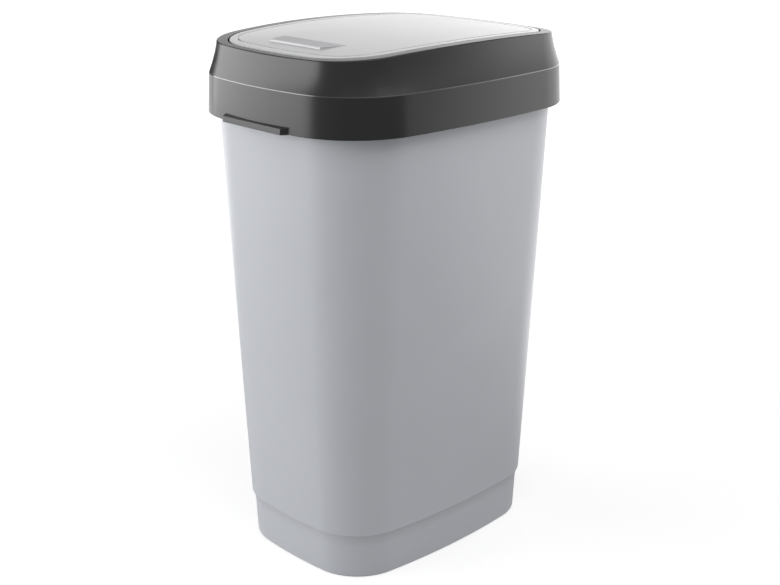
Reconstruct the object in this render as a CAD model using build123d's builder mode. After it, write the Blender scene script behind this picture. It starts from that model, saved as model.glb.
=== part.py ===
from build123d import *
from collections import namedtuple
import math
import os

os.makedirs("parts", exist_ok=True)

# Swing-lid trash can, in millimetres: a tapered body, a collar that lifts off, a flap that swings in it.
# The origin is on the floor at the middle of the body, +Z is up and the front, with the grip, faces -Y.

# A level is the outline at one height: two long sides and two ends, each one shallow arc, joined by
# round corners. half_x and half_y reach to the middles of the sides and the ends.
Level = namedtuple("Level", "half_x half_y side_radius end_radius corner")

# Wall of the body and the collar
wall = 2.2

# Collar: a nearly upright band, a crease, then a hollow curve that leans in to the rim
band_z = 567.0
band_height = 47.0
band_half_x = 163.0
band_half_y = 211.0
band_side_radius = 1240.0
band_end_radius = 490.0
band_corner = 99.0
band_draft = 2.5
cove_height = 44.4
cove_lean = 13.6
cove_power = 1.68
cove_sections = 5
rim_side_radius = 970.0
rim_end_radius = 515.0
rim_corner = 71.5
rim_round = 2.5

# The rim and the flap follow one arch from front to rear, this much lower at the ends
arch_rise = 8.3

# Opening in the rim
rim_side_width = 12.4
rim_end_width = 8.9
opening_side_radius = 1002.0
opening_end_radius = 587.0
opening_corner = 72.0
throat_depth = 18.4

# Body: its wall tapers to the floor. A plinth is set in below a small step, and flares out to it.
body_overhang = 12.5
body_corner = 91.0
taper_x = 24.4
taper_y = 25.1
foot_side_radius = 925.0
foot_end_radius = 620.0
foot_corner = 71.5
floor_thickness = 3.0
plinth_z = 60.5
plinth_inset = 3.4
plinth_flare = 11.5
step_inset = 1.0
step_round = 0.7
foot_round = 3.0
floor_round = 6.0

# Body's rim: a flange with a lip turned down, which the collar's band goes round
rim_above_band = 33.0
lip_depth = 9.0
lip_wall = 2.0
flange_thickness = 2.5
collar_clearance = 0.6

# Skirt below the collar's seat, which keeps the collar central in the body's mouth
skirt_depth = 12.0
skirt_clearance = 0.6

# Flap, with a border, a fine line and a panel
flap_gap = 2.0
flap_drop = 0.4
flap_wall = 2.0
flap_depth = 33.4
flap_draft = 2.0
flap_round = 1.0
border_side_width = 11.1
border_end_width = 13.3
panel_side_radius = 1038.0
panel_end_radius = 542.0
panel_corner = 49.0
line_width = 1.2
line_depth = 0.5
rib_thickness = 1.6
rib_depth = 27.4
rib_x = 62.0
rib_y = 70.0

# Wedge on the flap's front, where it is pushed
wedge_setback = 36.0
wedge_length = 35.0
wedge_front_half = 44.0
wedge_rear_half = 49.0
wedge_front_height = 2.9
wedge_rear_height = 0.5
balance_thickness = 2.0

# Finger grip on the collar's front
grip_reach = 6.5
grip_front_half = 52.4
grip_rear_half = 58.8
grip_thickness = 6.2
grip_rise = 2.5

# Pivot: the pins are pressed into the flap and turn in sockets under the rim
pivot_drop = 6.2
pin_radius = 3.0
pin_press_gap = 0.02
pin_running_gap = 0.06
pin_grip_length = 11.5
shoulder_radius = 4.5
shoulder_thickness = 1.2
pin_chamfer = 0.8
pin_end_gap = 1.0
socket_depth = 7.0
socket_end_wall = 1.5
pivot_block_half = 6.5


def inset(level, gap):
    """A level drawn in by the same gap all round, its arcs parallel to the old ones."""
    return Level(*(size - gap for size in level))


def between(low, high, share):
    """The level at a share of the way from one level to another."""
    return Level(*(a + (b - a) * share for a, b in zip(low, high)))


def outline(level, z):
    """The flat face inside a level's outline, at height z."""
    side_x = level.half_x - level.side_radius
    end_y = level.half_y - level.end_radius
    to_side = level.side_radius - level.corner
    to_end = level.end_radius - level.corner
    apart = math.hypot(side_x, end_y)
    along = (to_side**2 - to_end**2 + apart**2) / (2 * apart)
    across = math.sqrt(to_side**2 - along**2)
    corner_x = side_x - (along * side_x + across * end_y) / apart
    corner_y = (along * end_y - across * side_x) / apart
    start = math.atan2(corner_y, corner_x - side_x)
    end = math.atan2(corner_y - end_y, corner_x)
    turn = (start + end) / 2

    side = (side_x + level.side_radius * math.cos(start), level.side_radius * math.sin(start))
    rear = (level.end_radius * math.cos(end), end_y + level.end_radius * math.sin(end))
    round_middle = (corner_x + level.corner * math.cos(turn), corner_y + level.corner * math.sin(turn))

    def at(point, x_sign, y_sign):
        return (point[0] * x_sign, point[1] * y_sign)

    with BuildSketch(Plane.XY.offset(z)) as face:
        with BuildLine():
            ThreePointArc(at(side, 1, -1), (level.half_x, 0), at(side, 1, 1))
            ThreePointArc(at(side, 1, 1), at(round_middle, 1, 1), at(rear, 1, 1))
            ThreePointArc(at(rear, 1, 1), (0, level.half_y), at(rear, -1, 1))
            ThreePointArc(at(rear, -1, 1), at(round_middle, -1, 1), at(side, -1, 1))
            ThreePointArc(at(side, -1, 1), (-level.half_x, 0), at(side, -1, -1))
            ThreePointArc(at(side, -1, -1), at(round_middle, -1, -1), at(rear, -1, -1))
            ThreePointArc(at(rear, -1, -1), (0, -level.half_y), at(rear, 1, -1))
            ThreePointArc(at(rear, 1, -1), at(round_middle, 1, -1), at(side, 1, -1))
        make_face()
    return face.sketch


# Heights
crease_z = band_z + band_height
crown_z = crease_z + cove_height
flare_z = plinth_z - plinth_flare
rim_z = band_z + rim_above_band
skirt_z = rim_z - skirt_depth
throat_z = crown_z - throat_depth
flap_z = crown_z - flap_depth
rib_z = crown_z - rib_depth
pivot_z = crown_z - pivot_drop

# Outlines
band_low = Level(band_half_x, band_half_y, band_side_radius, band_end_radius, band_corner)
band_high = inset(band_low, band_draft)
rim_level = Level(
    half_x=band_high.half_x - cove_lean,
    half_y=band_high.half_y - cove_lean,
    side_radius=rim_side_radius,
    end_radius=rim_end_radius,
    corner=rim_corner,
)
opening = Level(
    half_x=rim_level.half_x - rim_side_width,
    half_y=rim_level.half_y - rim_end_width,
    side_radius=opening_side_radius,
    end_radius=opening_end_radius,
    corner=opening_corner,
)
flap_level = inset(opening, flap_gap)
panel_level = Level(
    half_x=flap_level.half_x - border_side_width,
    half_y=flap_level.half_y - border_end_width,
    side_radius=panel_side_radius,
    end_radius=panel_end_radius,
    corner=panel_corner,
)
body_high = inset(band_low, body_overhang)._replace(corner=body_corner)
foot_level = Level(
    half_x=body_high.half_x - taper_x,
    half_y=body_high.half_y - taper_y,
    side_radius=foot_side_radius,
    end_radius=foot_end_radius,
    corner=foot_corner,
)
arch_radius = (rim_level.half_y**2 + arch_rise**2) / (2 * arch_rise)

# Places on the collar and the flap
grip_front_y = -band_low.half_y - grip_reach
grip_rear_y = wall - band_high.half_y
grip_front_z = band_z + grip_thickness
grip_rear_z = grip_front_z + grip_rise
wedge_front_y = wedge_setback - flap_level.half_y
wedge_rear_y = wedge_front_y + wedge_length
balance_y = -(wedge_front_y + wedge_rear_y) / 2
pin_inner_x = flap_level.half_x - pin_grip_length
socket_end_x = opening.half_x + wall + socket_depth
bore_end_x = socket_end_x - socket_end_wall
pin_end_x = bore_end_x - pin_end_gap


def body_level(z):
    """The outside of the body's wall at height z."""
    return between(foot_level, body_high, z / band_z)


def band_level(z):
    """The outside of the collar's lower band at height z."""
    return between(band_low, band_high, (z - band_z) / (crease_z - band_z))


def cove_level(share):
    """The outside of the collar's hollow curve, at a share of the way from the crease to the rim."""
    return between(band_high, rim_level, 1 - (1 - share)**cove_power)


def under_arch(drop):
    """Everything below the rim's arch, lowered by drop."""
    with BuildPart() as block:
        with BuildSketch(Plane.YZ):
            with Locations((0, crown_z - arch_radius)):
                Circle(arch_radius - drop)
        extrude(amount=band_low.half_x + wall, both=True)
    return block.part


def collar_form(gap):
    """The collar filled solid, with every outer face drawn in by gap."""
    shares = [step / (cove_sections - 1) for step in range(cove_sections)]
    filled_height = cove_height + wall
    with BuildPart() as form:
        loft([outline(inset(band_low, gap), band_z), outline(inset(band_high, gap), crease_z)], ruled=True)
        loft([outline(inset(cove_level(share), gap), crease_z + share * filled_height) for share in shares])
        add(under_arch(gap), mode=Mode.INTERSECT)
    return form.part


def front_ledge(front_y, rear_y, front_half, rear_half, bottom_z, front_z, rear_z):
    """A low block across the front, narrower at its front edge, with a sloping top."""
    with BuildPart() as block:
        with BuildSketch(Plane.YZ):
            with BuildLine():
                Polyline(
                    (front_y, bottom_z), (front_y, front_z), (rear_y, rear_z), (rear_y, bottom_z),
                    close=True,
                )
            make_face()
        extrude(amount=rear_half, both=True)
        with BuildSketch(Plane.XY.offset(bottom_z)):
            with BuildLine():
                Polyline(
                    (-front_half, front_y), (front_half, front_y), (rear_half, rear_y), (-rear_half, rear_y),
                    close=True,
                )
            make_face()
        extrude(amount=max(front_z, rear_z) - bottom_z, mode=Mode.INTERSECT)
    return block.part


def grip_form():
    """The finger grip on the collar's front, reaching back into its wall."""
    return front_ledge(
        grip_front_y, grip_rear_y, grip_front_half, grip_rear_half, band_z, grip_front_z, grip_rear_z
    )


def pivot_blocks(inner_x, outer_x, top_z):
    """The blocks round the pivot, one at each side of the bin."""
    with BuildPart() as blocks:
        with BuildSketch(Plane.XY.offset(pivot_z - pivot_block_half)):
            with Locations(((inner_x + outer_x) / 2, 0), (-(inner_x + outer_x) / 2, 0)):
                Rectangle(outer_x - inner_x, 2 * pivot_block_half)
        extrude(amount=top_z - pivot_z + pivot_block_half)
    return blocks.part


def plinth_levels():
    """The outside of the plinth: the heights it runs through and its level at each."""
    return [
        (inset(body_level(0), plinth_inset), 0),
        (inset(body_level(flare_z), plinth_inset), flare_z),
        (inset(body_level(plinth_z), step_inset), plinth_z),
    ]


def arch_z(y):
    """The height of the rim's arch at y."""
    return crown_z - arch_radius + math.sqrt(arch_radius**2 - y**2)


def body_hollow():
    """The space inside the body."""
    foot, flare, step = plinth_levels()
    floor_level = between(foot[0], flare[0], floor_thickness / flare_z)
    levels = [(floor_level, floor_thickness), flare, step]
    levels += [(body_level(z), z) for z in (plinth_z + wall, rim_z)]
    with BuildPart() as hollow:
        loft([outline(inset(level, wall), z) for level, z in levels], ruled=True)
        fillet(hollow.edges().group_by(Axis.Z)[0], floor_round)
    return hollow.part


def throat_form():
    """The filled block that becomes the short wall round the flap."""
    with BuildPart() as form:
        add(outline(inset(opening, -wall), throat_z))
        extrude(amount=crown_z - throat_z)
        add(under_arch(wall / 2), mode=Mode.INTERSECT)
    return form.part


def flap_form(gap):
    """The flap filled solid, with its sides and top drawn in by gap."""
    with BuildPart() as form:
        low = inset(flap_level, flap_draft + gap)
        high = inset(flap_level, gap)
        loft([outline(low, flap_z), outline(high, crown_z)], ruled=True)
        add(under_arch(flap_drop + gap), mode=Mode.INTERSECT)
    return form.part


def line_groove():
    """The fine line between the flap's border and its panel."""
    with BuildPart() as groove:
        add(outline(panel_level, flap_z))
        extrude(amount=crown_z - flap_z)
        add(outline(inset(panel_level, line_width), flap_z))
        extrude(amount=crown_z - flap_z, mode=Mode.SUBTRACT)
        add(under_arch(flap_drop + line_depth), mode=Mode.SUBTRACT)
    return groove.part


def flap_top_z(y):
    """The height of the flap's top at y."""
    return arch_z(y) - flap_drop


def wedge_form(gap):
    """The wedge on the flap, with its faces drawn in by gap."""
    return front_ledge(
        wedge_front_y + gap,
        wedge_rear_y,
        wedge_front_half - gap,
        wedge_rear_half - gap,
        flap_top_z(wedge_front_y) - flap_wall,
        flap_top_z(wedge_front_y) + wedge_front_height - gap,
        flap_top_z(wedge_rear_y) + wedge_rear_height - gap,
    )


def flap_ribs():
    """The stiffening ribs under the flap."""
    with BuildPart() as ribs:
        with BuildSketch(Plane.XY.offset(rib_z)):
            with Locations((rib_x, 0), (-rib_x, 0)):
                Rectangle(rib_thickness, 2 * flap_level.half_y)
            with Locations((0, rib_y), (0, -rib_y)):
                Rectangle(2 * flap_level.half_x, rib_thickness)
        extrude(amount=crown_z - rib_z)
        add(flap_form(flap_wall / 2), mode=Mode.INTERSECT)
    return ribs.part


def pivot_cylinders(inner_x, outer_x, radius):
    """Two cylinders on the pivot axis, one at each side of the bin."""
    with BuildPart() as cylinders:
        for side in (-1, 1):
            with BuildSketch(Plane.YZ.offset(side * inner_x)):
                with Locations((0, pivot_z)):
                    Circle(radius)
            extrude(amount=side * (outer_x - inner_x))
    return cylinders.part


# Body
rim_outline = inset(band_level(rim_z), wall + collar_clearance)
with BuildPart() as bin_body:
    add(outline(rim_outline, rim_z))
    extrude(amount=-lip_depth)
    add(outline(inset(rim_outline, lip_wall), rim_z - lip_depth))
    extrude(amount=lip_depth - flange_thickness, mode=Mode.SUBTRACT)
    loft([outline(body_level(plinth_z), plinth_z), outline(body_level(rim_z), rim_z)], ruled=True)
    fillet(bin_body.edges().group_by(Axis.Z)[0], step_round)
    loft([outline(level, z) for level, z in plinth_levels()], ruled=True)
    fillet(bin_body.edges().group_by(Axis.Z)[0], foot_round)
    add(body_hollow(), mode=Mode.SUBTRACT)
bin_body.part.label = "bin_body"
export_step(bin_body.part, "parts/bin_body.step")

# Collar
skirt_outline = inset(body_level(skirt_z), wall + skirt_clearance)
with BuildPart() as lid_collar:
    add(collar_form(0))
    fillet(lid_collar.faces().sort_by(Axis.Z)[-1].edges(), rim_round)
    add(grip_form())
    add(collar_form(wall), mode=Mode.SUBTRACT)
    # The seat on the body's flange, and the skirt inside the body's mouth
    add(outline(inset(band_level(rim_z), wall / 2), rim_z))
    extrude(amount=wall)
    add(outline(skirt_outline, skirt_z))
    extrude(amount=skirt_depth)
    add(outline(inset(skirt_outline, wall), skirt_z))
    extrude(amount=skirt_depth + wall, mode=Mode.SUBTRACT)
    # The throat round the flap, and the sockets outside it
    add(throat_form())
    add(pivot_blocks(opening.half_x + wall / 2, socket_end_x, crown_z - wall / 2))
    add(outline(opening, throat_z))
    extrude(amount=crown_z - throat_z + wall, mode=Mode.SUBTRACT)
    add(pivot_cylinders(pin_inner_x, bore_end_x, pin_radius + pin_running_gap), mode=Mode.SUBTRACT)
lid_collar.part.label = "lid_collar"
export_step(lid_collar.part, "parts/lid_collar.step")

# Flap
with BuildPart() as swing_flap:
    add(flap_form(0))
    fillet(swing_flap.faces().sort_by(Axis.Z)[-1].edges(), flap_round)
    add(line_groove(), mode=Mode.SUBTRACT)
    add(wedge_form(0))
    add(flap_form(flap_wall), mode=Mode.SUBTRACT)
    add(wedge_form(flap_wall), mode=Mode.SUBTRACT)
    add(flap_ribs())
    add(pivot_blocks(pin_inner_x, flap_level.half_x - flap_draft, crown_z - flap_wall))
    add(pivot_cylinders(pin_inner_x, opening.half_x, pin_radius + pin_press_gap), mode=Mode.SUBTRACT)
    # A low bar under the rear, sized so that the flap balances front to rear
    turning_moment = -swing_flap.part.center(CenterOf.MASS).Y * swing_flap.part.volume
    bar_height = turning_moment / (2 * wedge_rear_half * balance_thickness * balance_y)
    bar_top_z = flap_top_z(balance_y) - flap_wall
    with BuildSketch(Plane.XY.offset(bar_top_z - bar_height)):
        with Locations((0, balance_y)):
            Rectangle(2 * wedge_rear_half, balance_thickness)
    extrude(amount=bar_height + flap_wall / 2)
swing_flap.part.label = "swing_flap"
export_step(swing_flap.part, "parts/swing_flap.step")
flap_centre = swing_flap.part.center(CenterOf.MASS)
print("flap's centre of mass below the pivot:", round(pivot_z - flap_centre.Z, 2))
print("and in front of it or behind:", round(flap_centre.Y, 3), "with a bar", round(bar_height, 2), "high")

# Pins
for side_name, side in (("left", -1), ("right", 1)):
    with BuildPart() as pin:
        with BuildSketch(Plane.YZ.offset(side * pin_inner_x)):
            with Locations((0, pivot_z)):
                Circle(pin_radius)
        extrude(amount=side * (pin_end_x - pin_inner_x))
        chamfer(pin.edges().sort_by(Axis.X)[-1 if side > 0 else 0], pin_chamfer)
        with BuildSketch(Plane.YZ.offset(side * flap_level.half_x)):
            with Locations((0, pivot_z)):
                Circle(shoulder_radius)
        extrude(amount=side * shoulder_thickness)
    pin.part.label = "pivot_pin_" + side_name
    export_step(pin.part, "parts/pivot_pin_" + side_name + ".step")
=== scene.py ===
import bmesh
import bpy
import math
import numpy as np
from collections import namedtuple
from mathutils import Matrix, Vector


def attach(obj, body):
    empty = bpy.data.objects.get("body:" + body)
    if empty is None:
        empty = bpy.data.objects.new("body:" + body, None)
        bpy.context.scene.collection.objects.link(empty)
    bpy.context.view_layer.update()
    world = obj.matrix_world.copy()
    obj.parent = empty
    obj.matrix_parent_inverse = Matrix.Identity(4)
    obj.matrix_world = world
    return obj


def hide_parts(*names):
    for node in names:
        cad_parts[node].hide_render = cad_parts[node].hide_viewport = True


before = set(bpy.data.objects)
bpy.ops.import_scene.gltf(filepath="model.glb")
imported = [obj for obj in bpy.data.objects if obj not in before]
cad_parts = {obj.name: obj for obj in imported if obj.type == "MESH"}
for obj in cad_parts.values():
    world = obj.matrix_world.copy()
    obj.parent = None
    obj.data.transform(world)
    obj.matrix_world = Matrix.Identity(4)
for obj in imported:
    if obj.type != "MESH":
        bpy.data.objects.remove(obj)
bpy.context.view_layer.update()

# Sizes are in millimetres in the CAD model's frame: x to the right, y to the rear, z up.
# Meshes are scaled to metres as they are made.
MM = 0.001

# A level is the bin's outline at one height: long sides and ends of one shallow arc each, joined by
# round corners
Level = namedtuple("Level", "half_x half_y side_radius end_radius corner")

# Steps along half a side, a corner and half an end
SIDE_STEPS = 12
CORNER_STEPS = 28
END_STEPS = 14
AROUND = 4 * (SIDE_STEPS + CORNER_STEPS + END_STEPS)

# Wall of the body and the collar, and the room between them where they meet
WALL = 2.2
FIT = 0.6

# Collar: the band up to the crease, the hollow curve up to the rim, which arches from front to rear
BAND_Z = 567.0
CREASE_Z = 614.0
CROWN_Z = 658.4
BAND_LOW = Level(163.0, 211.0, 1240.0, 490.0, 99.0)
BAND_HIGH = Level(160.5, 208.5, 1237.5, 487.5, 96.5)
RIM = Level(146.9, 194.9, 970.0, 515.0, 71.5)
COVE_POWER = 1.68
COVE_FULL = 46.6
ARCH_RADIUS = 2292.44
OPENING = Level(134.5, 186.0, 1002.0, 587.0, 72.0)
THROAT_Z = 640.0

# Bead along the crease: how far its foot stands out, how far its brow and root are let in, and heights
BEAD_PROUD = 0.15
BEAD_BROW = 0.20
BEAD_ROOT = 1.3
BEAD_LOW = -0.45
BEAD_BROW_HIGH = 0.55
BEAD_ROOT_HIGH = 0.40

# Finger grip low on the band, its rear let into the band. Its heights are above the band's foot.
GRIP_FRONT_X = 52.2
GRIP_REAR_X = 58.0
GRIP_LOW_Y = -215.6
GRIP_HIGH_Y = -215.2
GRIP_REAR_Y = -206.3
GRIP_FRONT_HIGH = 7.2
GRIP_REAR_HIGH = 8.7

# Body: foot, plinth, wall and the flange that the collar rests on
FOOT = Level(126.1, 173.4, 925.0, 620.0, 71.5)
BODY_HIGH = Level(150.5, 198.5, 1227.5, 477.5, 91.0)
FLOOR = 3.0
FLARE_Z = 49.0
PLINTH_Z = 60.5
PLINTH_INSET = 3.4
STEP_INSET = 1.0
RIM_Z = 600.0
FLANGE = 2.5
LIP = 2.0
LIP_DROP = 9.0

# Under the collar: the web that rests on the flange, and the skirt inside the body
WEB_Z = RIM_Z + WALL
SKIRT_Z = 588.0

# Flap: the border lies just above the rim's arch, and the panel is slightly crowned. The line round the
# panel starts, is deepest and ends at three insets of the panel's outline.
FLAP = Level(132.5, 184.0, 1000.0, 585.0, 70.0)
FLAP_DRAFT = 2.0
FLAP_Z = 625.0
FLAP_SKIRT_Z = 648.0
FLAP_WALL = 2.0
FLAP_RISE = 0.3
PANEL = Level(121.4, 170.7, 1038.0, 542.0, 49.0)
PANEL_RISE = 0.4
CROWN = 2.1
LINE_INSETS = (1.3, 0.2, -1.6)
LINE_DEPTH = 1.1
ROOF_EDGE = 3.0

# Pivot, and what is under the flap
PIVOT_Z = 652.2
BLOCK_HALF = 6.5
BLOCK_X = (121.5, 130.5)
SOCKET_X = (135.6, 143.7)
SOCKET_TOP = 657.0
RIB_Z = 631.0
RIB_HALF = 0.8
LONG_RIB_X = 62.0
LONG_RIB_LOW_Y = 178.0
LONG_RIB_HIGH_Y = 179.5
CROSS_RIB_Y = 70.0
CROSS_RIB_HALF_X = 127.3
CROSS_RIB_LEAN = 1.5
BALANCE_Y = 130.5
BALANCE_HALF_X = 49.0
BALANCE_HALF_Y = 1.0
BALANCE_HIGH = 4.3
SINK = 0.4

# Wedge that a hand pushes, highest along its front edge. Its heights and its lip's are above the arch.
WEDGE_FRONT_Y = -147.0
WEDGE_REAR_Y = -117.5
WEDGE_FRONT_X = 44.5
WEDGE_REAR_X = 55.0
WEDGE_LEAN = 1.6
WEDGE_LOW = -0.9
WEDGE_FRONT_HIGH = 2.9
WEDGE_REAR_HIGH = 1.55
LIP_X = 44.6
LIP_LOW = -0.2
LIP_HIGH = 3.0


def inset(level, gap):
    """A level drawn in by the same gap all round."""
    return Level(*(size - gap for size in level))


def between(low, high, share):
    """The level at a share of the way from one level to another."""
    return Level(*(a + (b - a) * share for a, b in zip(low, high)))


def ring_places():
    """Which arc each point of a ring is on, its share along the arc, and the signs of its x and y."""
    quarter = [(0, i / SIDE_STEPS) for i in range(SIDE_STEPS)]
    quarter += [(1, i / CORNER_STEPS) for i in range(CORNER_STEPS)]
    quarter += [(2, i / END_STEPS) for i in range(END_STEPS)]
    half = [(arc, share, 1, 1) for arc, share in quarter] + [(2, 1.0, 1, 1)]
    half += [(arc, share, -1, 1) for arc, share in quarter[:0:-1]]
    return np.array(half + [(arc, share, -a, -b) for arc, share, a, b in half])


PLACES = ring_places()


def ring(level, z):
    """One ring of points round a level at height z. Its sizes and z may differ from point to point."""
    arc, share, sign_x, sign_y = PLACES.T
    side_x = level.half_x - level.side_radius
    end_y = level.half_y - level.end_radius
    to_side = level.side_radius - level.corner
    to_end = level.end_radius - level.corner
    apart = np.hypot(side_x, end_y)
    along = (to_side**2 - to_end**2 + apart**2) / (2 * apart)
    across = np.sqrt(to_side**2 - along**2)
    corner_x = side_x - (along * side_x + across * end_y) / apart
    corner_y = (along * end_y - across * side_x) / apart
    start = np.arctan2(corner_y, corner_x - side_x)
    end = np.arctan2(corner_y - end_y, corner_x)
    on_side = share * start
    on_corner = start + share * (end - start)
    on_end = end + share * (math.pi / 2 - end)
    x = np.select(
        [arc == 0, arc == 1],
        [side_x + level.side_radius * np.cos(on_side), corner_x + level.corner * np.cos(on_corner)],
        level.end_radius * np.cos(on_end),
    )
    y = np.select(
        [arc == 0, arc == 1],
        [level.side_radius * np.sin(on_side), corner_y + level.corner * np.sin(on_corner)],
        end_y + level.end_radius * np.sin(on_end),
    )
    return np.stack([x * sign_x, y * sign_y, z + 0 * x], axis=1)


def arch_z(y):
    """The height of the rim's arch at y."""
    return CROWN_Z - ARCH_RADIUS + np.sqrt(ARCH_RADIUS**2 - y**2)


def roof_z(y):
    """The height at y of the tops of the pieces under the flap, which reach a little into it."""
    return float(arch_z(y)) + FLAP_RISE - FLAP_WALL + SINK


def body_level(z):
    return between(FOOT, BODY_HIGH, z / BAND_Z)


def body_inside(z):
    return inset(body_level(z), WALL)


def plinth_level(z):
    return inset(body_level(z), PLINTH_INSET)


def band_level(z):
    return between(BAND_LOW, BAND_HIGH, (z - BAND_Z) / (CREASE_Z - BAND_Z))


def flap_level(z):
    return inset(FLAP, FLAP_DRAFT * (CROWN_Z - z) / (CROWN_Z - FLAP_Z))


def cove_ring(share, gap=0.0):
    """A ring on the collar's hollow curve, at a share of the way up from the crease to the arch."""
    y = np.zeros(AROUND)
    for _ in range(5):
        z = CREASE_Z + share * (arch_z(y) - gap - CREASE_Z)
        lean = 1 - (1 - (z - CREASE_Z) / COVE_FULL) ** COVE_POWER
        points = ring(inset(between(BAND_HIGH, RIM, lean), gap), z)
        y = points[:, 1]
    return points


def arched(level, rise=0.0):
    """A ring that lies on the arch, or above it by rise."""
    points = ring(level, 0.0)
    points[:, 2] = arch_z(points[:, 1]) + rise
    return points


def scaled(points, share, z_at=None):
    """A ring drawn toward the middle by a share, at its own height or on the surface z_at(y, share)."""
    drawn = points.copy()
    drawn[:, :2] *= share
    if z_at:
        drawn[:, 2] = z_at(drawn[:, 1], share)
    return drawn


# A round takes less than half of a wall, in steps of a few degrees. The ring beside it is a share of its
# radius away, but takes no more than a share of the wall that is left.
MOST_OF_WALL = 0.48
ROUND_STEP = 11
BESIDE_SHARE = 0.35
BESIDE_MOST = 0.3


def rounded(profile, closed=False):
    """The rings of a profile, given as pairs of a ring and the radius that rounds it.

    A round is a conic from one wall to the next, with one more ring on the wall beside each of its ends.
    """
    rings = []
    for i, (corner, radius) in enumerate(profile):
        at_end = not closed and i in (0, len(profile) - 1)
        if radius == 0 or at_end:
            rings.append(corner)
            continue
        to_before = profile[i - 1][0] - corner
        to_after = profile[(i + 1) % len(profile)][0] - corner
        room_before = np.linalg.norm(to_before, axis=1, keepdims=True)
        room_after = np.linalg.norm(to_after, axis=1, keepdims=True)
        to_before = to_before / room_before
        to_after = to_after / room_after
        cosine = np.sum(to_before * to_after, axis=1, keepdims=True)
        half_turn = (math.pi - np.arccos(np.clip(cosine, -1, 1))) / 2
        most = MOST_OF_WALL * np.minimum(room_before, room_after)
        reach = np.minimum(radius * np.tan(half_turn), most)
        first = corner + to_before * reach
        last = corner + to_after * reach
        beside = BESIDE_SHARE * radius
        rings.append(first + to_before * np.minimum(beside, BESIDE_MOST * (room_before - reach)))
        steps = max(3, math.ceil(math.degrees(2 * float(np.max(half_turn))) / ROUND_STEP))
        for step in range(steps + 1):
            s = step / steps
            pull = 2 * np.cos(half_turn) * s * (1 - s)
            total = (1 - s) ** 2 + pull + s**2
            rings.append(((1 - s) ** 2 * first + pull * corner + s**2 * last) / total)
        rings.append(last + to_after * np.minimum(beside, BESIDE_MOST * (room_after - reach)))
    return rings


def plain_rings(level_at, low, high, count):
    """Rings of a wall between two heights, the ends left out."""
    heights = np.linspace(low, high, count + 2)[1:-1]
    return [(ring(level_at(z), z), 0) for z in heights]


def draft(points, faces):
    """A mesh under way, from points in millimetres, with its faces turned outward."""
    mesh = bpy.data.meshes.new("draft")
    mesh.from_pydata([tuple(p) for p in np.asarray(points) * MM], [], faces)
    build = bmesh.new()
    build.from_mesh(mesh)
    bpy.data.meshes.remove(mesh)
    bmesh.ops.recalc_face_normals(build, faces=build.faces)
    return build


def add_piece(name, build, look, body):
    """The object of a finished mesh, shaded smooth, on its body and material slot."""
    mesh = bpy.data.meshes.new(name)
    build.to_mesh(mesh)
    build.free()
    for face in mesh.polygons:
        face.use_smooth = True
    mesh.materials.append(look)
    piece = bpy.data.objects.new(name, mesh)
    bpy.context.collection.objects.link(piece)
    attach(piece, body)
    return piece


def skin(name, rings, look, body, closed=False):
    """A surface through rings: a closed loop of them, or a shell whose first and last rings are capped."""
    points = np.concatenate(rings)
    count = len(rings[0])
    faces = []
    for i in range(len(rings) - (0 if closed else 1)):
        low = i * count
        high = ((i + 1) % len(rings)) * count
        for j in range(count):
            k = (j + 1) % count
            faces.append((low + j, low + k, high + k, high + j))
    if not closed:
        for i, end in ((0, rings[0]), (len(rings) - 1, rings[-1])):
            centre = len(points)
            points = np.concatenate([points, [end.mean(axis=0)]])
            faces += [(i * count + j, i * count + (j + 1) % count, centre) for j in range(count)]
    return add_piece(name, draft(points, faces), look, body)


# Edges that turn by more than this, in radians, are rounded
SHARP_TURN = 0.6
BEVEL_STEPS = 3


def stack(name, sections, radius, look, body):
    """A solid through four-cornered sections, with its sharp edges rounded and its flat faces left flat."""
    last = 4 * (len(sections) - 1)
    faces = [(3, 2, 1, 0), tuple(last + i for i in range(4))]
    for low in range(0, last, 4):
        for j in range(4):
            k = (j + 1) % 4
            faces.append((low + j, low + k, low + 4 + k, low + 4 + j))
    build = draft([point for section in sections for point in section], faces)
    sharp = [edge for edge in build.edges if edge.calc_face_angle() > SHARP_TURN]
    bmesh.ops.bevel(
        build, geom=sharp, offset=radius * MM, segments=BEVEL_STEPS, affect="EDGES", profile=0.5
    )
    bmesh.ops.recalc_face_normals(build, faces=build.faces)
    piece = add_piece(name, build, look, body)
    # Each point is shaded with the normal of the largest face it is on
    largest = {}
    for face in piece.data.polygons:
        for i in face.vertices:
            if face.area > largest.get(i, (0,))[0]:
                largest[i] = (face.area, tuple(face.normal))
    piece.data.normals_split_custom_set_from_vertices([largest[i][1] for i in range(len(largest))])
    return piece


def bar(name, low, high, radius, look, body, lean=0.0):
    """A straight bar between two opposite corners. Its top may lean out at both ends of x."""
    (a, b, c), (d, e, f) = low, high
    base = [(a, b, c), (d, b, c), (d, e, c), (a, e, c)]
    top = [(a - lean, b, f), (d + lean, b, f), (d + lean, e, f), (a - lean, e, f)]
    return stack(name, [base, top], radius, look, body)


def trapezoid(front, rear):
    """A section with a straight front and rear edge, each given as half its width, its y and its z."""
    (front_x, front_y, front_z), (rear_x, rear_y, rear_z) = front, rear
    return [
        (-front_x, front_y, front_z), (front_x, front_y, front_z),
        (rear_x, rear_y, rear_z), (-rear_x, rear_y, rear_z),
    ]


def ramp(tree, value, start, end, low, high, smooth=True):
    """A value's step from low at start to high at end."""
    step = tree.nodes.new("ShaderNodeMapRange")
    step.interpolation_type = "SMOOTHSTEP" if smooth else "LINEAR"
    for name, number in (("From Min", start), ("From Max", end), ("To Min", low), ("To Max", high)):
        step.inputs[name].default_value = number
    tree.links.new(value, step.inputs["Value"])
    return step.outputs["Result"]


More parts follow.
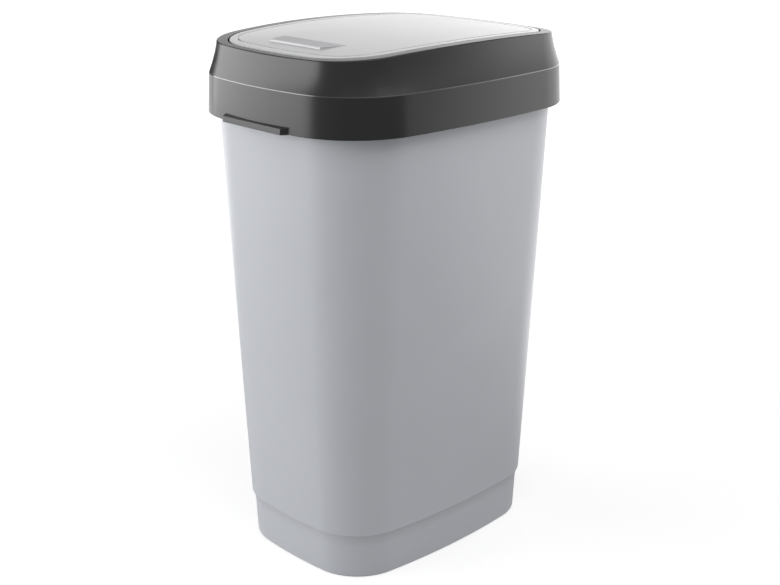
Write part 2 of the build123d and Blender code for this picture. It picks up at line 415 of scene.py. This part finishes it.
def maths(tree, operation, a, b):
    """The result of an operation on two numbers or sockets."""
    node = tree.nodes.new("ShaderNodeMath")
    node.operation = operation
    for i, value in enumerate((a, b)):
        if isinstance(value, (int, float)):
            node.inputs[i].default_value = value
        else:
            tree.links.new(value, node.inputs[i])
    return node.outputs[0]


def dot(tree, place, direction):
    """How far a place lies along a direction."""
    product = tree.nodes.new("ShaderNodeVectorMath")
    product.operation = "DOT_PRODUCT"
    product.inputs[1].default_value = direction
    tree.links.new(place, product.inputs[0])
    return product.outputs["Value"]


def noise(tree, place, scale, detail):
    texture = tree.nodes.new("ShaderNodeTexNoise")
    texture.inputs["Scale"].default_value = scale
    texture.inputs["Detail"].default_value = detail
    tree.links.new(place, texture.inputs["Vector"])
    return texture.outputs["Fac"]


# Moulded plastic: the mottle's share of the colour and its part of the roughness, and the grain
MOTTLE_SCALE = 9.0
MOTTLE_DETAIL = 3.0
MOTTLE_START = 0.3
MOTTLE_END = 0.7
MOTTLE_TINT = 0.015
MOTTLE_ROUGH = 0.015
GRAIN_SCALE = 900.0
GRAIN_DETAIL = 2.0
GRAIN_STRENGTH = 0.02
GRAIN_DEPTH = 0.0005


def moulded(name, color, rough, specular=0.5, coat=0.0):
    """Moulded plastic: a faint mottle in its colour and gloss, and a fine satin grain."""
    look = bpy.data.materials.new(name)
    look.use_nodes = True
    tree = look.node_tree
    shader = tree.nodes["Principled BSDF"]
    shader.inputs["IOR"].default_value = 1.5
    shader.inputs["Specular IOR Level"].default_value = specular
    shader.inputs["Coat Weight"].default_value = coat
    place = tree.nodes.new("ShaderNodeTexCoord").outputs["Object"]
    mottle = noise(tree, place, MOTTLE_SCALE, MOTTLE_DETAIL)
    tint = tree.nodes.new("ShaderNodeValToRGB")
    darkest, lightest = tint.color_ramp.elements
    darkest.position = MOTTLE_START
    lightest.position = MOTTLE_END
    darkest.color = (*(c * (1 - MOTTLE_TINT) for c in color), 1)
    lightest.color = (*(c * (1 + MOTTLE_TINT) for c in color), 1)
    tree.links.new(mottle, tint.inputs["Fac"])
    tree.links.new(tint.outputs["Color"], shader.inputs["Base Color"])
    low, high = rough - MOTTLE_ROUGH, rough + MOTTLE_ROUGH
    gloss = ramp(tree, mottle, MOTTLE_START, MOTTLE_END, low, high, smooth=False)
    tree.links.new(gloss, shader.inputs["Roughness"])
    bump = tree.nodes.new("ShaderNodeBump")
    bump.inputs["Strength"].default_value = GRAIN_STRENGTH
    bump.inputs["Distance"].default_value = GRAIN_DEPTH
    tree.links.new(noise(tree, place, GRAIN_SCALE, GRAIN_DETAIL), bump.inputs["Height"])
    tree.links.new(bump.outputs["Normal"], shader.inputs["Normal"])
    return look


BODY_LOOK = moulded("body_plastic", (0.485, 0.50, 0.535), 0.32)
COLLAR_LOOK = moulded("collar_plastic", (0.012, 0.012, 0.012), 0.28)
FLAP_LOOK = moulded("flap_plastic", (0.46, 0.46, 0.47), 0.22)
WEDGE_LOOK = moulded("wedge_plastic", (0.45, 0.45, 0.465), 0.5)
# Painted highlight: a lighter, glossier copy of the collar's plastic, for the bead along the crease.
CREASE_HIGHLIGHT_LOOK = moulded("crease_highlight_plastic", (0.02, 0.02, 0.02), 0.25, specular=1.0, coat=1.0)
# Painted highlight: a lighter, glossier copy of the wedge's plastic, for the lip along its front.
LIP_HIGHLIGHT_LOOK = moulded("lip_highlight_plastic", (0.48, 0.48, 0.49), 0.3, specular=1.0, coat=0.2)
PIN_LOOK = moulded("pin_plastic", (0.020, 0.020, 0.020), 0.4)

# Shares of a flat face's rings, from its edge to near its middle
TO_MIDDLE = (0.9, 0.7, 0.5, 0.3, 0.1)


def make_body():
    """The body: up the outside, over the flange and its lip, and down the inside."""
    flange_z = RIM_Z - FLANGE
    lip_z = RIM_Z - LIP_DROP
    rim_outside = inset(band_level(RIM_Z), WALL + FIT)
    lip_inside = inset(rim_outside, LIP)
    foot = ring(plinth_level(0), 0.0)
    profile = [(scaled(foot, share), 0) for share in reversed(TO_MIDDLE)]
    profile += [(foot, 3.0)]
    profile += plain_rings(plinth_level, 0, FLARE_Z, 2)
    profile += [
        (ring(plinth_level(FLARE_Z), FLARE_Z), 45.0),
        (ring(inset(body_level(PLINTH_Z), STEP_INSET), PLINTH_Z), 0.15),
        (ring(body_level(PLINTH_Z), PLINTH_Z), 0.5),
    ]
    profile += plain_rings(body_level, PLINTH_Z, flange_z, 13)
    profile += [
        (ring(body_level(flange_z), flange_z), 1.0),
        (ring(lip_inside, flange_z), 0.8),
        (ring(lip_inside, lip_z), 0.5),
        (ring(rim_outside, lip_z), 0.5),
        (ring(rim_outside, RIM_Z), 1.2),
        (ring(body_inside(RIM_Z), RIM_Z), 1.0),
    ]
    inner_z = PLINTH_Z + WALL
    profile += plain_rings(body_inside, RIM_Z, inner_z, 10)
    inner_foot = ring(inset(plinth_level(FLOOR), WALL), FLOOR)
    profile += [
        (ring(body_inside(inner_z), inner_z), 0),
        (ring(inset(body_inside(PLINTH_Z), STEP_INSET), PLINTH_Z), 0),
        (ring(inset(plinth_level(FLARE_Z), WALL), FLARE_Z), 0),
        (inner_foot, 6.0),
    ]
    profile += [(scaled(inner_foot, share), 0) for share in TO_MIDDLE]
    body_shell = skin("body_shell", rounded(profile), BODY_LOOK, "body")
    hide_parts("bin_body")


def make_collar():
    """The collar: up the band and the hollow curve, over the rim, down the throat, and back under it all."""
    skirt_outside = inset(body_level(SKIRT_Z), WALL + FIT)
    skirt_inside = inset(skirt_outside, WALL)
    throat_outside = inset(OPENING, -WALL)
    profile = [(ring(BAND_LOW, BAND_Z), 0.6)]
    profile += plain_rings(band_level, BAND_Z, CREASE_Z, 3)
    profile += [(ring(BAND_HIGH, CREASE_Z), 0.6)]
    profile += [(cove_ring(share), 0) for share in np.linspace(0, 1, 15)[1:-1]]
    profile += [
        (cove_ring(1.0), 2.5),
        (arched(OPENING), 0.7),
        (ring(OPENING, THROAT_Z), 0.5),
        (ring(throat_outside, THROAT_Z), 0.5),
        (arched(throat_outside, -WALL), 1.0),
        (cove_ring(1.0, WALL), 1.0),
    ]
    profile += [(cove_ring(share, WALL), 0) for share in np.linspace(1, 0, 9)[1:-1]]
    profile += [
        (ring(inset(BAND_HIGH, WALL), CREASE_Z), 2.0),
        (ring(inset(band_level(WEB_Z), WALL), WEB_Z), 0.6),
        (ring(skirt_inside, WEB_Z), 0.8),
        (ring(skirt_inside, SKIRT_Z), 0.6),
        (ring(skirt_outside, SKIRT_Z), 0.6),
        (ring(skirt_outside, RIM_Z), 0.4),
        (ring(inset(band_level(RIM_Z), WALL), RIM_Z), 0.4),
        (ring(inset(BAND_LOW, WALL), BAND_Z), 0.6),
    ]
    rings = rounded(profile, closed=True)
    collar_shell = skin("collar_shell", rings, COLLAR_LOOK, "collar", closed=True)
    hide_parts("lid_collar")


def make_crease_edge():
    """The fine bead along the collar's crease, let into the collar. Its lighter, glossier copy of the
    collar's plastic is a painted highlight.
    """
    profile = [
        (ring(inset(BAND_HIGH, -BEAD_PROUD), CREASE_Z + BEAD_LOW), 0.12),
        (ring(inset(BAND_HIGH, BEAD_BROW), CREASE_Z + BEAD_BROW_HIGH), 0.12),
        (ring(inset(BAND_HIGH, BEAD_ROOT), CREASE_Z + BEAD_ROOT_HIGH), 0.1),
        (ring(inset(BAND_HIGH, BEAD_ROOT), CREASE_Z + BEAD_LOW), 0.1),
    ]
    rings = rounded(profile, closed=True)
    skin("crease_edge", rings, CREASE_HIGHLIGHT_LOOK, "collar", closed=True)


def make_grip():
    """The finger grip low on the band's front."""
    front_z, rear_z = BAND_Z + GRIP_FRONT_HIGH, BAND_Z + GRIP_REAR_HIGH
    base = trapezoid((GRIP_FRONT_X, GRIP_LOW_Y, BAND_Z), (GRIP_REAR_X, GRIP_REAR_Y, BAND_Z))
    top = trapezoid((GRIP_FRONT_X, GRIP_HIGH_Y, front_z), (GRIP_REAR_X, GRIP_REAR_Y, rear_z))
    stack("front_grip", [base, top], 0.5, COLLAR_LOOK, "collar")


def make_sockets():
    """The sockets of the pivot, outside the throat."""
    for sign, word in ((-1, "left"), (1, "right")):
        inner, outer = sorted(sign * x for x in SOCKET_X)
        low = (inner, -BLOCK_HALF, PIVOT_Z - BLOCK_HALF)
        high = (outer, BLOCK_HALF, SOCKET_TOP)
        bar("pivot_socket_" + word, low, high, 0.5, COLLAR_LOOK, "collar")


def panel_z(y, share):
    return arch_z(y) + PANEL_RISE + CROWN * (1 - share**2)


def under_z(y, share):
    return arch_z(y) + FLAP_RISE - FLAP_WALL


def make_flap():
    """The flap: the panel, the line round it, the border, the skirt and the underside."""
    line_start, line_middle, line_end = (inset(PANEL, gap) for gap in LINE_INSETS)
    panel_edge = arched(line_start, PANEL_RISE)
    profile = [(scaled(panel_edge, share, panel_z), 0) for share in np.linspace(0.03, 0.97, 22)]
    profile += [
        (panel_edge, 0.3),
        (arched(line_middle, PANEL_RISE - LINE_DEPTH), 0.2),
        (arched(line_end, PANEL_RISE), 0.3),
        (arched(between(PANEL, FLAP, 0.5), (FLAP_RISE + PANEL_RISE) / 2), 0),
        (arched(FLAP, FLAP_RISE), 1.0),
    ]
    profile += plain_rings(flap_level, FLAP_SKIRT_Z, FLAP_Z, 2)
    inside = inset(FLAP, FLAP_WALL)
    profile += [
        (ring(flap_level(FLAP_Z), FLAP_Z), 0.6),
        (ring(inset(inside, FLAP_DRAFT), FLAP_Z), 0.6),
        (arched(inside, FLAP_RISE - FLAP_WALL), 1.5),
    ]
    roof = arched(inset(inside, ROOF_EDGE), FLAP_RISE - FLAP_WALL)
    profile += [(scaled(roof, share, under_z), 0) for share in np.linspace(1.0, 0.03, 14)]
    flap_shell = skin("flap_shell", rounded(profile), FLAP_LOOK, "flap")
    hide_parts("swing_flap")


def make_wedge():
    """The low wedge near the flap's front edge, and the lip along its front, whose lighter, glossier plastic
    is a painted highlight.
    """
    front_z = float(arch_z(WEDGE_FRONT_Y))
    rear_z = float(arch_z(WEDGE_REAR_Y))
    front_low = (WEDGE_FRONT_X, WEDGE_FRONT_Y - WEDGE_LEAN, front_z + WEDGE_LOW)
    front_high = (WEDGE_FRONT_X, WEDGE_FRONT_Y, front_z + WEDGE_FRONT_HIGH)
    rear_low = (WEDGE_REAR_X, WEDGE_REAR_Y, rear_z + WEDGE_LOW)
    rear_high = (WEDGE_REAR_X, WEDGE_REAR_Y, rear_z + WEDGE_REAR_HIGH)
    sections = [trapezoid(front_low, rear_low), trapezoid(front_high, rear_high)]
    stack("push_wedge", sections, 0.4, WEDGE_LOOK, "flap")
    low_z, high_z = front_z + LIP_LOW, front_z + LIP_HIGH
    base = trapezoid((LIP_X, WEDGE_FRONT_Y - 2.0, low_z), (LIP_X, WEDGE_FRONT_Y - 0.6, low_z))
    top = trapezoid((LIP_X, WEDGE_FRONT_Y - 0.4, high_z), (LIP_X, WEDGE_FRONT_Y + 0.5, high_z))
    stack("wedge_lip", [base, top], 0.25, LIP_HIGHLIGHT_LOOK, "flap")


def make_long_rib(name, x):
    """A rib from front to rear, whose top follows the flap's arch."""
    left, right = x - RIB_HALF, x + RIB_HALF
    sections = []
    for share in np.linspace(-1, 1, 15):
        low_y, high_y = share * LONG_RIB_LOW_Y, share * LONG_RIB_HIGH_Y
        top_z = roof_z(high_y)
        low = [(left, low_y, RIB_Z), (right, low_y, RIB_Z)]
        sections.append(low + [(right, high_y, top_z), (left, high_y, top_z)])
    stack(name, sections, 0.3, FLAP_LOOK, "flap")


def make_underside():
    """Under the flap: two ribs each way, the blocks that hold the pins, and the balance bar."""
    for sign, word in ((-1, "left"), (1, "right")):
        make_long_rib("rib_" + word, sign * LONG_RIB_X)
        inner, outer = sorted(sign * x for x in BLOCK_X)
        low = (inner, -BLOCK_HALF, PIVOT_Z - BLOCK_HALF)
        high = (outer, BLOCK_HALF, roof_z(0.0))
        bar("pivot_block_" + word, low, high, 0.5, FLAP_LOOK, "flap")
    for y, word in ((-CROSS_RIB_Y, "front"), (CROSS_RIB_Y, "rear")):
        low = (-CROSS_RIB_HALF_X, y - RIB_HALF, RIB_Z)
        high = (CROSS_RIB_HALF_X, y + RIB_HALF, roof_z(CROSS_RIB_Y))
        bar("rib_" + word, low, high, 0.3, FLAP_LOOK, "flap", lean=CROSS_RIB_LEAN)
    top_z = roof_z(BALANCE_Y)
    low = (-BALANCE_HALF_X, BALANCE_Y - BALANCE_HALF_Y, top_z - BALANCE_HIGH)
    high = (BALANCE_HALF_X, BALANCE_Y + BALANCE_HALF_Y, top_z)
    bar("balance_bar", low, high, 0.4, FLAP_LOOK, "flap")


make_body()
make_collar()
make_crease_edge()
make_grip()
make_sockets()
make_flap()
make_wedge()
make_underside()
for pin in ("pivot_pin_left", "pivot_pin_right"):
    pin_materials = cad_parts[pin].data.materials
    pin_materials.clear()
    pin_materials.append(PIN_LOOK)

# Studio: everything from here on is in metres, and a strength of 1 is white. A pair is the start and end
# of a step: in the cosine from a direction, in the height that a ray looks up to, or in distance.
BACKDROP_GLOW = 1.34
BACKDROP_EDGE = (0.60, 0.70)
BACKDROP_TOP = (0.1, 0.6)
STUDIO_FILL = 0.49
STUDIO_CEILING = 0.15
CEILING_EDGE = (0.3, 0.9)
DARK_CARD_EDGE = (0.75, 0.90)
TO_BACKDROP = (-0.174, 0.985, 0.0)
TO_DARK_CARD = (-0.966, 0.259, 0.0)
FLOOR_REACH = 6.0
FLOOR_GREY = 0.5
FLOOR_ROUGH = 0.7
FLOOR_WHITE = 0.60
FLOOR_HAZE = 0.98
HAZE_STEP = (0.5, 3.5)
FAR_FLOOR = 1.2
FAR_STEP = (0.15, 0.8)
TO_FAR_FLOOR = (-0.35, 0.94, 0.0)
CAMERA_PLACE = (1.2192, -1.16942, 0.89176)
CAMERA_AIM = (-0.68223, 0.65690, -0.32101)
CAMERA_LENS = 63.35

# Lamps: name, place, aim, width and height, and radiance
SOFTBOXES = (
    ("left_box", (-1.75, -1.65, 0.95), (0, 0, 0.70), (3.4, 1.62), 3.7),
    ("right_box", (1.5, 2.3, 1.0), (0, 0, 0.5), (1.8, 1.9), 0.55),
    ("right_top_box", (1.6, 0.4, 2.7), (0, 0, 0.35), (2.2, 1.8), 2.3),
    ("front_top_box", (1.3, -1.3, 2.9), (0, 0, 0.3), (2.2, 1.6), 1.65),
)


def seen_directly(tree, rays):
    """1 for the camera's own rays and those through clear things, 0 for light and reflections."""
    return maths(tree, "ADD", rays["Is Camera Ray"], rays["Is Transmission Ray"])


def floor_look():
    """White where it is seen, grey to the light, and pale far behind the object in reflections."""
    look = bpy.data.materials.new("studio_floor")
    look.use_nodes = True
    tree = look.node_tree
    shader = tree.nodes["Principled BSDF"]
    shader.inputs["Base Color"].default_value = (FLOOR_GREY, FLOOR_GREY, FLOOR_GREY, 1)
    shader.inputs["Roughness"].default_value = FLOOR_ROUGH
    shader.inputs["Emission Color"].default_value = (1, 1, 1, 1)
    place = tree.nodes.new("ShaderNodeTexCoord").outputs["Object"]
    distance = tree.nodes.new("ShaderNodeVectorMath")
    distance.operation = "LENGTH"
    tree.links.new(place, distance.inputs[0])
    rays = tree.nodes.new("ShaderNodeLightPath").outputs
    seen = seen_directly(tree, rays)
    white = ramp(tree, distance.outputs["Value"], *HAZE_STEP, FLOOR_WHITE, FLOOR_HAZE)
    far = ramp(tree, dot(tree, place, TO_FAR_FLOOR), *FAR_STEP, 0.0, FAR_FLOOR)
    mirrored = maths(tree, "MULTIPLY", rays["Is Glossy Ray"], far)
    glow = maths(tree, "ADD", maths(tree, "MULTIPLY", seen, white), mirrored)
    tree.links.new(glow, shader.inputs["Emission Strength"])
    return look


def make_floor():
    mesh = bpy.data.meshes.new("studio_floor")
    corners = [(x * FLOOR_REACH, y * FLOOR_REACH, 0) for x, y in ((-1, -1), (1, -1), (1, 1), (-1, 1))]
    mesh.from_pydata(corners, [], [(0, 1, 2, 3)])
    mesh.materials.append(floor_look())
    floor = bpy.data.objects.new("studio_floor", mesh)
    bpy.context.collection.objects.link(floor)


def make_camera():
    """The camera at the photograph's angle."""
    camera = bpy.data.objects.new("camera", bpy.data.cameras.new("camera"))
    bpy.context.collection.objects.link(camera)
    camera.location = CAMERA_PLACE
    camera.rotation_mode = "QUATERNION"
    camera.rotation_quaternion = Vector(CAMERA_AIM).to_track_quat("-Z", "Y")
    camera.data.sensor_width = 36
    camera.data.lens = CAMERA_LENS
    camera.data.clip_end = 50
    bpy.context.scene.camera = camera


def make_world():
    """White where it is seen. For light and reflections, a soft studio.

    It is pale low down behind the object, as a white backdrop is, dimmer above and elsewhere, and dark
    to the object's left.
    """
    world = bpy.data.worlds.new("studio")
    bpy.context.scene.world = world
    world.use_nodes = True
    tree = world.node_tree
    background = tree.nodes["Background"]
    background.inputs["Color"].default_value = (1, 1, 1, 1)
    toward = tree.nodes.new("ShaderNodeTexCoord").outputs["Generated"]
    height = dot(tree, toward, (0.0, 0.0, 1.0))
    behind = ramp(tree, dot(tree, toward, TO_BACKDROP), *BACKDROP_EDGE, 0.0, 1.0)
    low_down = ramp(tree, height, *BACKDROP_TOP, BACKDROP_GLOW, 0.0)
    walls = ramp(tree, height, *CEILING_EDGE, STUDIO_FILL, STUDIO_CEILING)
    lit = ramp(tree, dot(tree, toward, TO_DARK_CARD), *DARK_CARD_EDGE, 1.0, 0.0)
    backdrop = maths(tree, "MULTIPLY", behind, low_down)
    studio = maths(tree, "ADD", backdrop, maths(tree, "MULTIPLY", walls, lit))
    seen = seen_directly(tree, tree.nodes.new("ShaderNodeLightPath").outputs)
    unseen = maths(tree, "MULTIPLY", maths(tree, "SUBTRACT", 1.0, seen), studio)
    tree.links.new(maths(tree, "MAXIMUM", seen, unseen), background.inputs["Strength"])


def make_softbox(name, place, aim, size, radiance):
    """A soft rectangular lamp, as bright as a white card of the same radiance."""
    lamp = bpy.data.lights.new(name, "AREA")
    lamp.shape = "RECTANGLE"
    lamp.size, lamp.size_y = size
    lamp.energy = radiance * math.pi * size[0] * size[1]
    softbox = bpy.data.objects.new(name, lamp)
    bpy.context.collection.objects.link(softbox)
    softbox.location = place
    softbox.rotation_mode = "QUATERNION"
    softbox.rotation_quaternion = (Vector(aim) - Vector(place)).to_track_quat("-Z", "Y")
    softbox.visible_camera = False


make_floor()
make_camera()
make_world()
for row in SOFTBOXES:
    make_softbox(*row)
bpy.context.scene.view_settings.view_transform = "Standard"
